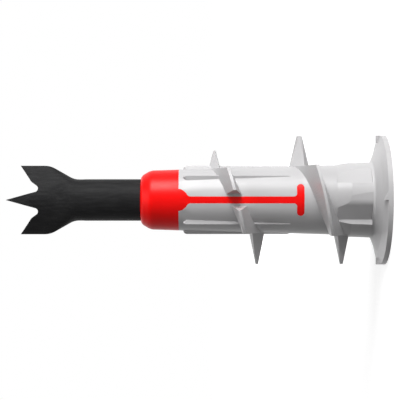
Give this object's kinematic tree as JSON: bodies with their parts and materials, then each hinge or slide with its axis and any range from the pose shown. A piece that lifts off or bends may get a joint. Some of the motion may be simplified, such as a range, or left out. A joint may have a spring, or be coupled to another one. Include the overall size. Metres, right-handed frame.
{
  "type": "plasterboard plug",
  "caption": "Self-drilling plasterboard plug: slotted nylon barrel with a coarse cutting thread and wide head, a second-colour nose with webs, and a forked drilling tip.",
  "frame": {"origin": "centre of the head's flat outer face, on which the plug stands", "axes": "+Z along the plug's axis from the head to the drilling point, -Y towards the web that faces the camera, +X towards the upper outer cutting point"},
  "size_m": [0.015, 0.015, 0.044],
  "materials": {
    "grey_nylon": "satin moulded",
    "red_nylon": "satin moulded",
    "black_steel": "blackened, with faint lengthwise streaks"
  },
  "bodies": {
    "root": {"plug_body": "grey_nylon", "nose_web": "red_nylon", "drill_tip": "black_steel"}
  },
  "joints": []
}
